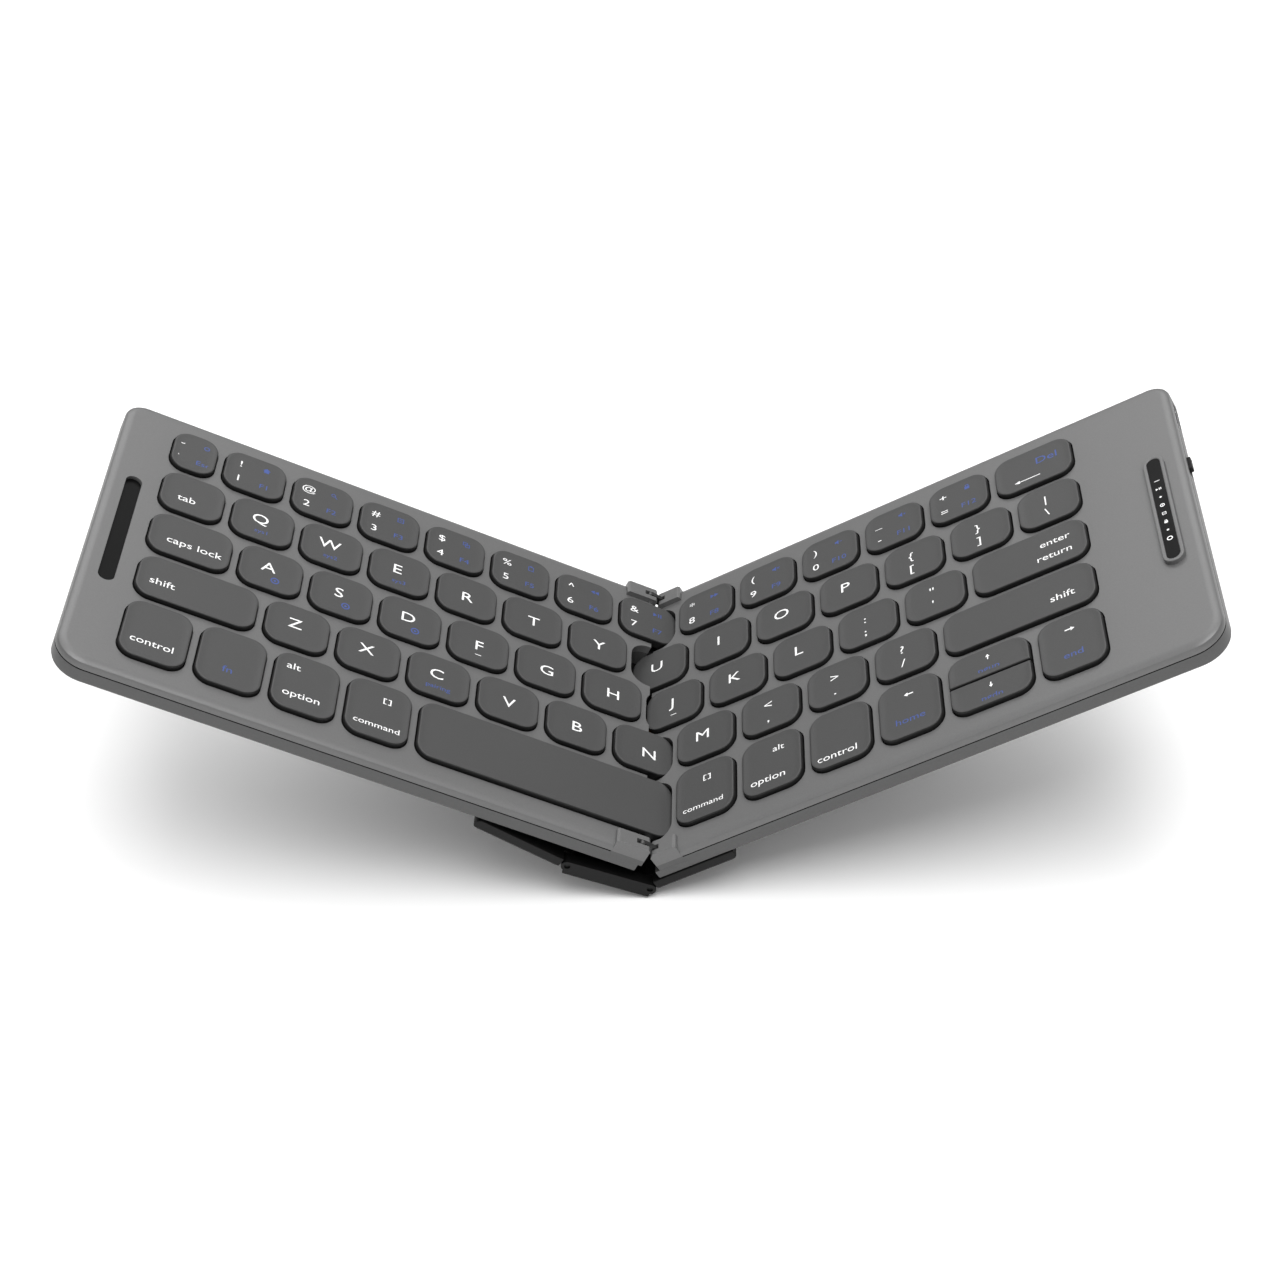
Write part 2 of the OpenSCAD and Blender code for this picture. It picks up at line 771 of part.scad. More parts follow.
// Between the cheeks of the spine channel, a wing narrows to a knuckle round the pin
module knuckle() {
    along_y(cheek + cheek_gap, leaf_d - cheek - cheek_gap) {
        circle(knuckle_r);
        translate([0, -knuckle_r]) square([wing_start + 1, 2 * knuckle_r]);
    }
}

module right_wing() {
    top = pivot_drop;
    low = -knuckle_r;
    end = right_wing_length;
    c = wing_chamfer;
    color(dark) on_right() translate([-pivot_in, 0, pivot_z]) difference() {
        union() {
            chamfered_ends(low) along_y(0, leaf_d)
                polygon([[wing_start, low], [end - c, low], [end, low + c], [end, top], [wing_start, top]]);
            knuckle();
        }
        cover_bore(0, cover_pin_r + pin_fit);
    }
}

module left_wing() {
    end = left_wing_length;
    c = wing_chamfer;
    color(dark) on_left_wing() difference() {
        union() {
            chamfered_ends(-wing_low) along_y(0, leaf_d) {
                polygon([
                    [wing_start, -wing_low], [end + knuckle_r - c, -wing_low],
                    [end + knuckle_r, c - wing_low], [end + knuckle_r, 0], [end, 0],
                    [end, knuckle_r], [wing_start, knuckle_r]
                ]);
                translate([end, 0]) circle(knuckle_r);
            }
            knuckle();
        }
        cover_bore(0, cover_pin_r + pin_fit);
    }
}

module spine_bar() {
    r = bar_corner;
    s0 = 1;
    s1 = bar_length - s0;
    color(dark) on_bar() difference() {
        chamfered_ends(-bar_depth) along_y(0, leaf_d) {
            for (x = [0, bar_length]) translate([x, 0]) circle(knuckle_r);
            translate([0, r - bar_depth]) square([bar_length, bar_depth - r + knuckle_r]);
            translate([s0, -bar_depth]) square([s1 - s0, r]);
            for (x = [s0, s1]) translate([x, r - bar_depth]) circle(r);
        }
        translate([-far, cheek, bar_wall - bar_depth])
            cube([bar_length + 2 * far, leaf_d - 2 * cheek, far]);
        for (x = [0, bar_length]) cover_bore(x, cover_pin_r + pin_fit);
    }
}

module cover_pin() {
    translate([0, 0.5, 0]) rotate([-90, 0, 0]) cylinder(h = leaf_d - 1, r = cover_pin_r);
}

module spine_pin() {
    color(steel) on_bar() cover_pin();
}

module wing_pin() {
    color(steel) on_left_wing() cover_pin();
}

// ---- Keys ----

// Keycaps between edges from and to of a row: a chamfered block over a skirt, with a boss for the dome
module keycaps(edges, row, from, to) {
    for (i = [from:to]) {
        x0 = edges[row][i] * key_pitch + web / 2 + key_gap;
        x1 = edges[row][i + 1] * key_pitch - web / 2 - key_gap;
        d = row_d(row) - 2 * key_gap;
        translate([(x0 + x1) / 2, row_y(row) + row_d(row) / 2, 0]) {
            difference() {
                union() {
                    between(key_low, key_rise - key_chamfer) rounded(x1 - x0, d, key_r);
                    translate([0, 0, key_rise - key_chamfer])
                        chamfered_block(x1 - x0, d, key_r, key_chamfer, key_chamfer);
                }
                between(key_low - 1, cap_ceiling)
                    square([x1 - x0 - 2 * pocket_in, d - 2 * pocket_in], center = true);
            }
            between(key_low - 0.2, cap_ceiling + 0.3) circle(1);
        }
    }
}

module left_keys(row, from, to) {
    color(key_colour) on_left() keycaps(left_edges, row, from, to);
}

module right_keys(row, from, to) {
    color(key_colour) on_right() keycaps(right_edges, row, from, to);
}

// The up and down keys share one opening, half each
module half_key(rear) {
    split = 0.5;
    mid = row_y(0) + row_d(0) / 2;
    cell = 4;
    middle_x = (right_edges[0][cell] + right_edges[0][cell + 1]) / 2 * key_pitch;
    color(key_colour) on_right() {
        intersection() {
            difference() {
                keycaps(right_edges, 0, cell, cell);
                translate([middle_x - 2, mid - 2, key_low - 1]) cube([4, 4, cap_ceiling - key_low + 1]);
            }
            translate([0, rear ? mid + split / 2 : mid - far - split / 2, -far])
                cube([right_length, far, 2 * far]);
        }
        translate([middle_x, mid + (rear ? 1 : -1) * (row_d(0) / 4), 0])
            between(key_low - 0.2, cap_ceiling + 0.3) circle(1);
    }
}

module left_digit_keys() { left_keys(4, 0, 7); }
module left_upper_keys() { left_keys(3, 0, 5); }
module left_home_keys() { left_keys(2, 0, 5); }
module left_lower_keys() { left_keys(1, 0, 5); }
module tab_key() { left_keys(3, 6, 6); }
module caps_key() { left_keys(2, 6, 6); }
module left_shift_key() { left_keys(1, 6, 6); }
module space_key() { left_keys(0, 0, 0); }
module left_command_key() { left_keys(0, 1, 1); }
module left_option_key() { left_keys(0, 2, 2); }
module fn_key() { left_keys(0, 3, 3); }
module left_control_key() { left_keys(0, 4, 4); }
module right_digit_keys() { right_keys(4, 0, 4); }
module right_upper_keys() { right_keys(3, 0, 6); }
module right_home_keys() { right_keys(2, 0, 4); }
module right_lower_keys() { right_keys(1, 0, 3); }
module delete_key() { right_keys(4, 5, 5); }
module enter_key() { right_keys(2, 5, 5); }
module right_shift_key() { right_keys(1, 4, 4); }
module right_command_key() { right_keys(0, 0, 0); }
module right_option_key() { right_keys(0, 1, 1); }
module right_control_key() { right_keys(0, 2, 2); }
module left_arrow_key() { right_keys(0, 3, 3); }
module up_arrow_key() { half_key(true); }
module down_arrow_key() { half_key(false); }
module right_arrow_key() { right_keys(0, 5, 5); }

left_top_case();
left_bottom_case();
left_support_plate();
left_switch_film();
left_domes();
left_scissors();
battery();
left_slot_strip();
left_feet();
left_hinge_blocks();
left_hinge_pins();
left_screws();
flex_ribbon();
hinge_links();
fold_pins();
right_top_case();
right_bottom_case();
right_support_plate();
right_switch_film();
right_domes();
right_scissors();
main_board();
status_bezel();
status_window();
charging_socket();
right_feet();
right_hinge_blocks();
right_screws();
right_wing();
power_knob();
spine_pin();
spine_bar();
wing_pin();
left_wing();
left_digit_keys();
left_upper_keys();
left_home_keys();
left_lower_keys();
tab_key();
caps_key();
left_shift_key();
space_key();
left_command_key();
left_option_key();
fn_key();
left_control_key();
right_digit_keys();
right_upper_keys();
right_home_keys();
right_lower_keys();
delete_key();
enter_key();
right_shift_key();
right_command_key();
right_option_key();
right_control_key();
left_arrow_key();
up_arrow_key();
down_arrow_key();
right_arrow_key();
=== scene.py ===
"""Looks of the folding keyboard: satin case, dark keycaps with printed legends, black fold cover."""

import json
import math

import bmesh
import bpy
from mathutils import Matrix, Vector


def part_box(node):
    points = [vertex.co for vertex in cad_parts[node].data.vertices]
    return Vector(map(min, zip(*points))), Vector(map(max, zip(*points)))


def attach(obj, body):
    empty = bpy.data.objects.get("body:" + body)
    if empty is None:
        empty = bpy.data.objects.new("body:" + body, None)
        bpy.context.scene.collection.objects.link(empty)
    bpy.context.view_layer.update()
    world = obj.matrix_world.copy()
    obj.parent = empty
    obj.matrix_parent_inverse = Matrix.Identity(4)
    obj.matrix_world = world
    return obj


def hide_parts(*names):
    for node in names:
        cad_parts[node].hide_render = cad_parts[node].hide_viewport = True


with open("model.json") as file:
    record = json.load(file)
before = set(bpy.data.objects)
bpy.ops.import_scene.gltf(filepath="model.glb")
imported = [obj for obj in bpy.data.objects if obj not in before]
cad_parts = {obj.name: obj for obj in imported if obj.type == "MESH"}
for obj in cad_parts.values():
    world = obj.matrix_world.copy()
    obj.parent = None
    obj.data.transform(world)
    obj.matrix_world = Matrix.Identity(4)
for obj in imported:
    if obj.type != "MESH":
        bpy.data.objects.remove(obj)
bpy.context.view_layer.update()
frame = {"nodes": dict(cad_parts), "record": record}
nodes = frame["nodes"]
body_of_node = {n: b for b, ns in frame["record"]["behaviour"]["bodies"].items() for n in ns}
MM = 0.001

# ---- Layout, the same values as the solids, in millimetres ----

HALF_FOLD = math.radians(54.46 / 2)
PITCH, WEB, GAP = 18.0, 1.6, 0.3
ROW_Y = [6.0, 27.2, 43.85, 60.5, 77.15]    # front edge of each row's openings
ROW_D = [19.45, 14.9, 14.9, 14.9, 14.9]   # and their depth
KEY_R, KEY_TOP, KEY_LOW = 4.2, 1.2, -1.0
SMALL_R, HALF_GAP = 0.5, 0.25             # inner corners of the two half keys, and half their gap
LEAF_D = 98.05
RIGHT_LENGTH, BEZEL_INSET = 142.0, 7.2    # the bezel's middle lies this far in from the outer side
SEAM_DEPTH = 2.4
SEAM_LOW, SEAM_HIGH = -2.72, -2.34        # heights between which a face belongs to the seam's groove
BLOCK_D, BLOCK_GAP = 4.5, 0.06            # depth of a hinge block, and how far its face stands back
BLOCK_BELOW, BLOCK_ABOVE = 0.22, 0.1      # how far round that face its vertices are looked for

# Shape of a keycap's top
ROUND_OVER = 0.4         # radius of its edge, which is painted black as shade where it is steep
# rounding steps numbered below the last of these take the sides' painted shade
ROUND_STEPS, SHADED_STEPS = 4, 4
DISH_DEPTH, DISH_START, DISH_RUN = 0.12, 0.4, 2.0
TOP_STEP, TOP_STEPS = 0.4, 7
CORNER_STEPS = 8
LEAST_RADIUS, LEAST_HALF = 0.05, 0.8
UNDER_INSET = 0.45

# Printing
PRINT_LIFT = 0.015
PRINT_Z = KEY_TOP - DISH_DEPTH + PRINT_LIFT
LETTER_WIDTH = 1.18      # letters are set a little wide
CAPITAL_HEIGHT = 0.7     # of the built-in font, at size 1

# Lights of the status bar: the first one's place from the front edge, their pitch and height
LIGHTS_START, LIGHTS_PITCH, LIGHTS_Z = 59.4, 3.15, 1.07


def run(first, n):
    return [first + i for i in range(n + 1)]


EDGES = {
    "left": [[-0.25] + run(3.5, 4), run(-0.25, 6) + [7.5], run(0.25, 6) + [7.5], run(0.5, 7),
             run(-0.25, 7) + [7.5]],
    "right": [run(0.25, 4) + [5.5, 6.5], run(0.25, 4) + [6.5], run(-0.25, 5) + [6.5], run(-0.5, 7),
              run(0.25, 5) + [6.5]],
}

pin_low, pin_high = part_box("fold_pins")
FOLD = Vector(((pin_low.x + pin_high.x) / 2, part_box("left_bottom_case")[0].y,
               (pin_low.z + pin_high.z) / 2))
PLACE = {
    "left": Matrix.Translation(FOLD) @ Matrix.Rotation(HALF_FOLD, 4, "Y")
            @ Matrix.Diagonal((-MM, MM, MM, 1)),
    "right": Matrix.Translation(FOLD) @ Matrix.Rotation(-HALF_FOLD, 4, "Y")
             @ Matrix.Diagonal((MM, MM, MM, 1)),
}

# ---- Materials ----

MOTTLE_SCALE = 60.0
COAT_ROUGHNESS = 0.1
NOISE_LOW, NOISE_HIGH = 0.3, 0.7    # the span that the noise really fills
MOTTLE_TO_ROUGHNESS, LEAST_SPREAD = 0.6, 0.02
BUMP_DEPTH = 0.00005


def material(name, colour, roughness, metallic=0.0, grain=0.0, grain_scale=2500.0, mottle=0.0,
             bump=0.0, coat=0.0, specular=0.5, brushed=None, emission=0.0):
    """Moulded or painted surface: fine grain in the bump, slow variation in colour and roughness."""
    mat = bpy.data.materials.new(name)
    mat.use_nodes = True
    tree = mat.node_tree
    link = tree.links.new
    shader = tree.nodes["Principled BSDF"]
    put = shader.inputs
    put["Base Color"].default_value = (*colour, 1)
    put["Metallic"].default_value = metallic
    put["Roughness"].default_value = roughness
    put["Specular IOR Level"].default_value = specular
    put["Coat Weight"].default_value = coat
    put["Coat Roughness"].default_value = COAT_ROUGHNESS
    if emission:
        put["Emission Color"].default_value = (*colour, 1)
        put["Emission Strength"].default_value = emission
    coords = tree.nodes.new("ShaderNodeTexCoord")
    vector = coords.outputs["Object"]
    if brushed:
        stretch = tree.nodes.new("ShaderNodeMapping")
        stretch.inputs["Scale"].default_value = brushed
        link(vector, stretch.inputs["Vector"])
        vector = stretch.outputs["Vector"]
    fine = tree.nodes.new("ShaderNodeTexNoise")
    fine.inputs["Scale"].default_value = grain_scale
    fine.inputs["Detail"].default_value = 3
    link(vector, fine.inputs["Vector"])
    slow = tree.nodes.new("ShaderNodeTexNoise")
    slow.inputs["Scale"].default_value = MOTTLE_SCALE
    slow.inputs["Detail"].default_value = 2
    link(coords.outputs["Object"], slow.inputs["Vector"])

    def spread(source, centre, amount, target):
        span = tree.nodes.new("ShaderNodeMapRange")
        span.inputs["From Min"].default_value = NOISE_LOW
        span.inputs["From Max"].default_value = NOISE_HIGH
        span.inputs["To Min"].default_value = centre - amount
        span.inputs["To Max"].default_value = centre + amount
        link(source, span.inputs["Value"])
        link(span.outputs["Result"], target)

    spread(slow.outputs["Fac"], roughness, max(LEAST_SPREAD, mottle * MOTTLE_TO_ROUGHNESS),
           put["Roughness"])
    value = tree.nodes.new("ShaderNodeMix")
    value.data_type = "RGBA"
    value.inputs[6].default_value = (*[c * (1 - grain - mottle) for c in colour], 1)
    value.inputs[7].default_value = (*[min(1, c * (1 + grain + mottle)) for c in colour], 1)
    blend = tree.nodes.new("ShaderNodeMix")
    blend.inputs[0].default_value = grain / max(1e-6, grain + mottle)
    link(slow.outputs["Fac"], blend.inputs[2])
    link(fine.outputs["Fac"], blend.inputs[3])
    link(blend.outputs[0], value.inputs[0])
    link(value.outputs[2], put["Base Color"])
    if bump:
        relief = tree.nodes.new("ShaderNodeBump")
        relief.inputs["Strength"].default_value = bump
        relief.inputs["Distance"].default_value = BUMP_DEPTH
        link(fine.outputs["Fac"], relief.inputs["Height"])
        link(relief.outputs["Normal"], put["Normal"])
    return mat


def grey(level, tint=(1, 1, 1)):
    """Linear colour of an sRGB level from 0 to 255."""
    v = level / 255
    v = v / 12.92 if v <= 0.04045 else ((v + 0.055) / 1.055) ** 2.4
    return tuple(v * t for t in tint)


CASE = material("case_satin", grey(102), 0.42, metallic=0.2, grain=0.10, grain_scale=2600, mottle=0.03,
                bump=0.25)
KEY_FACE = material("keycap_face", grey(61), 0.55, grain=0.10, grain_scale=3200, mottle=0.04, bump=0.3)
# The keycaps' sides are the same plastic as their tops, painted near black as shade
KEY_SIDE_SHADE = material("keycap_side_painted_shade", grey(8), 0.5, grain=0.08, bump=0.2)
TRIM = material("cover_black", grey(9), 0.5, specular=0.22, grain=0.10, mottle=0.05, bump=0.25)
WHITE = material("legend_white", grey(238), 0.5, grain=0.03)
BLUE = material("legend_blue", (0.04, 0.075, 0.27), 0.5, grain=0.05)
GLOSS = material("window_black", grey(7), 0.4, grain=0.02, mottle=0.02, specular=0.1)
LAMP = material("lamp_white", grey(235), 0.4, grain=0.02, emission=0.35)
DARK_STEEL = material("link_steel", grey(70), 0.35, metallic=0.8, grain=0.06, bump=0.2,
                      brushed=(1, 30, 1))
STEEL = material("pin_steel", grey(176), 0.3, metallic=1.0, grain=0.06, bump=0.2, brushed=(1, 30, 1))
PIN_BLACK = material("pin_black", grey(24), 0.45, metallic=0.5, grain=0.06, bump=0.2)
PLATE = material("support_plate", grey(52), 0.45, metallic=0.6, grain=0.05, bump=0.1, brushed=(1, 20, 1))
FILM = material("switch_film", grey(24), 0.35, grain=0.04, mottle=0.05)
DOME = material("dome_silicone", grey(150), 0.55, grain=0.03, mottle=0.04)
ARM = material("scissor_arm", grey(40), 0.45, grain=0.05, bump=0.1)
CELL = material("cell_foil", grey(168), 0.3, metallic=0.8, grain=0.04, mottle=0.06, bump=0.2)
BOARD = material("board_green", (0.012, 0.09, 0.045), 0.35, grain=0.08, mottle=0.1, coat=0.3)
RIBBON = material("ribbon_amber", (0.30, 0.13, 0.02), 0.35, grain=0.05, mottle=0.06)
# The same satin as the case, painted darker as shade, for the bottom cases and the hinge blocks below the
# seam
CASE_SIDE_SHADE = material("case_side_painted_shade", grey(78), 0.45, metallic=0.2, grain=0.10, grain_scale=2600,
                     mottle=0.03, bump=0.25)
SEAM = material("seam_shadow", grey(12), 0.7, grain=0.05, specular=0.2)
FOOT = material("foot_rubber", grey(34), 0.8, grain=0.15, mottle=0.05, bump=0.5)

# ---- Mesh helpers ----

ROUND_ANGLE = 28         # an edge sharper than this many degrees is rounded
FLAT_ANGLE = 0.6         # faces that differ by less are one face
WELD = 0.0015            # millimetres
EVEN_WEIGHT = 80


def add(name, bm, mats, body, replaces=(), sharp=35, weighted=False):
    """Makes an object of a mesh in metres, in the world frame, and lets it ride on a body."""
    mesh = bpy.data.meshes.new(name)
    for mat in mats:
        mesh.materials.append(mat)
    for edge in bm.edges:
        edge.smooth = edge.is_manifold and edge.calc_face_angle(0) < math.radians(sharp)
    for face in bm.faces:
        face.smooth = True
    bm.to_mesh(mesh)
    bm.free()
    piece = bpy.data.objects.new(name, mesh)
    bpy.context.scene.collection.objects.link(piece)
    if weighted:
        even = piece.modifiers.new("even_shading", "WEIGHTED_NORMAL")
        even.keep_sharp = True
        even.weight = EVEN_WEIGHT
    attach(piece, body)
    if replaces:
        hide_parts(*replaces)
    return piece


def into_place(bm, side):
    """Moves a mesh from leaf coordinates to the world frame, and turns its faces the right way."""
    bmesh.ops.transform(bm, matrix=PLACE[side], verts=bm.verts)
    if side == "left":
        bmesh.ops.reverse_faces(bm, faces=bm.faces)


def refined(node, width, mats, segments=2, face_material=None):
    """A CAD node's own shape with rounded edges in place of its sharp ones."""
    bm = bmesh.new()
    bm.from_mesh(nodes[node].data)
    bmesh.ops.scale(bm, vec=(1000, 1000, 1000), verts=bm.verts)    # to millimetres
    bmesh.ops.remove_doubles(bm, verts=bm.verts, dist=WELD)
    bmesh.ops.dissolve_limit(bm, angle_limit=math.radians(FLAT_ANGLE), verts=bm.verts, edges=bm.edges)
    edges = [e for e in bm.edges
             if e.is_manifold and e.calc_face_angle(0) > math.radians(ROUND_ANGLE)]
    bmesh.ops.bevel(bm, geom=edges, offset=width, offset_type="OFFSET", segments=segments,
                    profile=0.5, affect="EDGES", clamp_overlap=True)
    bmesh.ops.scale(bm, vec=(MM, MM, MM), verts=bm.verts)
    for face in bm.faces:
        face.material_index = face_material(face) if face_material else 0
    return add(node + "_shell", bm, mats, body_of_node[node], (node,), weighted=True)


def in_seam(side):
    """Faces of the groove between a leaf's top case and bottom case."""
    back = PLACE[side].inverted()
    return lambda face: int(SEAM_LOW < (back @ face.calc_center_median()).z < SEAM_HIGH)


def shade_below_seam(piece, side):
    """Gives a piece its second material below the seam, the case colour painted darker as shade, as the
    bottom case beside it has.
    """
    bm = bmesh.new()
    bm.from_mesh(piece.data)
    back = PLACE[side].inverted()
    up = (PLACE[side].to_3x3() @ Vector((0, 0, 1))).normalized()
    bmesh.ops.bisect_plane(bm, geom=bm.verts[:] + bm.edges[:] + bm.faces[:], dist=1e-7,
                           plane_co=PLACE[side] @ Vector((0, 0, -SEAM_DEPTH)), plane_no=up)
    for face in bm.faces:
        face.material_index = int((back @ face.calc_center_median()).z < -SEAM_DEPTH)
    bm.to_mesh(piece.data)
    bm.free()
    return piece


# ---- Keycaps ----


def ring(x0, x1, y0, y1, radii, inset):
    """Outline of a rounded rectangle, anticlockwise from its front left corner."""
    x0, x1, y0, y1 = x0 + inset, x1 - inset, y0 + inset, y1 - inset
    corners = [(x0, y0, 1, 1, 180), (x1, y0, -1, 1, 270), (x1, y1, -1, -1, 0), (x0, y1, 1, -1, 90)]
    points = []
    for (x, y, sx, sy, start), radius in zip(corners, radii):
        r = max(LEAST_RADIUS, radius - inset)
        for i in range(CORNER_STEPS + 1):
            t = math.radians(start + 90 * i / CORNER_STEPS)
            points.append((x + sx * r + r * math.cos(t), y + sy * r + r * math.sin(t)))
    return points


def dish(inset):
    """Depth of the shallow hollow in a keycap's top."""
    t = min(1.0, max(0.0, (inset - DISH_START) / DISH_RUN))
    return DISH_DEPTH * (1 - (1 - t) ** 2)


def keycap(bm, cell, radii):
    """One cap: rings from its underside up and in, each with its inset, height and material. Material 1
    is painted shade, on the sides, the steep part of the edge and the underside.
    """
    profile = [(UNDER_INSET, KEY_LOW, 1), (0, KEY_LOW, 1), (0, KEY_TOP - ROUND_OVER - DISH_DEPTH, 1),
               (0, KEY_TOP - ROUND_OVER, 1)]
    for i in range(1, ROUND_STEPS + 1):
        t = math.radians(90 * i / ROUND_STEPS)
        profile.append((ROUND_OVER * (1 - math.cos(t)), KEY_TOP - ROUND_OVER * (1 - math.sin(t)),
                        int(i < SHADED_STEPS)))
    profile += [(i * TOP_STEP, KEY_TOP, 0) for i in range(2, TOP_STEPS)]
    x0, x1, y0, y1 = cell
    deepest = min(x1 - x0, y1 - y0) / 2 - LEAST_HALF
    rings = []
    for inset, z, _ in profile:
        inset = min(inset, deepest)
        points = ring(x0, x1, y0, y1, radii, inset)
        rings.append([bm.verts.new((x, y, z - (dish(inset) if z > 0 else 0)))
                      for x, y in points])
    n = len(rings[0])
    for level in range(1, len(rings)):
        for i in range(n):
            face = bm.faces.new((rings[level - 1][i], rings[level - 1][(i + 1) % n],
                                 rings[level][(i + 1) % n], rings[level][i]))
            face.material_index = profile[level][2]
    bm.faces.new(rings[-1]).material_index = 0
    bm.faces.new(list(reversed(rings[0]))).material_index = 1


def cell_of(side, row, i, half=None):
    """Outline of a cap and its corner radii. half is front or rear, for the two short keys."""
    edges = EDGES[side][row]
    x0 = edges[i] * PITCH + WEB / 2 + GAP
    x1 = edges[i + 1] * PITCH - WEB / 2 - GAP
    y0 = ROW_Y[row] + GAP
    y1 = ROW_Y[row] + ROW_D[row] - GAP
    mid = (y0 + y1) / 2
    radii = [KEY_R] * 4
    if half == "rear":
        y0 = mid + HALF_GAP
        radii = [SMALL_R, SMALL_R, KEY_R, KEY_R]
    if half == "front":
        y1 = mid - HALF_GAP
        radii = [KEY_R, KEY_R, SMALL_R, SMALL_R]
    return (x0, x1, y0, y1), radii


# Each node's leaf, row, and first and last opening counted from the fold
KEYS = {
    "left_digit_keys": ("left", 4, 0, 7), "left_upper_keys": ("left", 3, 0, 5),
    "left_home_keys": ("left", 2, 0, 5), "left_lower_keys": ("left", 1, 0, 5),
    "tab_key": ("left", 3, 6, 6), "caps_key": ("left", 2, 6, 6), "left_shift_key": ("left", 1, 6, 6),
    "space_key": ("left", 0, 0, 0), "left_command_key": ("left", 0, 1, 1),
    "left_option_key": ("left", 0, 2, 2), "fn_key": ("left", 0, 3, 3),
    "left_control_key": ("left", 0, 4, 4), "right_digit_keys": ("right", 4, 0, 4),
    "right_upper_keys": ("right", 3, 0, 6), "right_home_keys": ("right", 2, 0, 4),
    "right_lower_keys": ("right", 1, 0, 3), "delete_key": ("right", 4, 5, 5),
    "enter_key": ("right", 2, 5, 5), "right_shift_key": ("right", 1, 4, 4),
    "right_command_key": ("right", 0, 0, 0), "right_option_key": ("right", 0, 1, 1),
    "right_control_key": ("right", 0, 2, 2), "left_arrow_key": ("right", 0, 3, 3),
    "up_arrow_key": ("right", 0, 4, 4, "rear"), "down_arrow_key": ("right", 0, 4, 4, "front"),
    "right_arrow_key": ("right", 0, 5, 5),
}

# ---- Legends ----
# A mark is (text or shape, x, y, size, material index, alignment), with x and y in millimetres from
# the middle of its key, x to the typist's right. Index 0 is white and 1 is blue.


def letters(text, size):
    """Points and faces of a flat text. Its capitals are size high."""
    curve = bpy.data.curves.new("legend_text", "FONT")
    curve.body = text
    curve.size = 1
    curve.resolution_u = 3
    holder = bpy.data.objects.new("legend_text", curve)
    bpy.context.scene.collection.objects.link(holder)
    mesh = bpy.data.meshes.new_from_object(holder)
    bpy.data.objects.remove(holder)
    bpy.data.curves.remove(curve)
    scale = size / CAPITAL_HEIGHT
    points = [(v.co.x * scale * LETTER_WIDTH, v.co.y * scale) for v in mesh.vertices]
    faces = [list(p.vertices) for p in mesh.polygons]
    bpy.data.meshes.remove(mesh)
    return points, faces


def disc(r, n=14, inner=0.0, x=0.0, y=0.0):
    """A round face of n sides, or a ring where inner is its hole's radius."""
    points = [(x + r * math.cos(2 * math.pi * i / n), y + r * math.sin(2 * math.pi * i / n))
              for i in range(n)]
    if not inner:
        return points, [list(range(n))]
    points += [(x + inner * math.cos(2 * math.pi * i / n), y + inner * math.sin(2 * math.pi * i / n))
               for i in range(n)]
    return points, [[i, (i + 1) % n, n + (i + 1) % n, n + i] for i in range(n)]


def poly(*shapes):
    points, faces = [], []
    for shape in shapes:
        faces.append(list(range(len(points), len(points) + len(shape))))
        points += shape
    return points, faces


def joined(*parts):
    points, faces = [], []
    for p, f in parts:
        faces += [[i + len(points) for i in face] for face in f]
        points += p
    return points, faces


def box2(x0, x1, y0, y1):
    return [(x0, y0), (x1, y0), (x1, y1), (x0, y1)]


def stroke(x0, y0, x1, y1, t):
    length = math.hypot(x1 - x0, y1 - y0)
    nx, ny = -(y1 - y0) / length * t / 2, (x1 - x0) / length * t / 2
    return [(x0 - nx, y0 - ny), (x1 - nx, y1 - ny), (x1 + nx, y1 + ny), (x0 + nx, y0 + ny)]


def frame2(x0, x1, y0, y1, t):
    return [box2(x0, x1, y0, y0 + t), box2(x0, x1, y1 - t, y1), box2(x0, x0 + t, y0 + t, y1 - t),
            box2(x1 - t, x1, y0 + t, y1 - t)]


SPEAKER = [box2(-1.0, -0.5, -0.35, 0.35), [(-0.5, -0.35), (0.1, -0.9), (0.1, 0.9), (-0.5, 0.35)]]

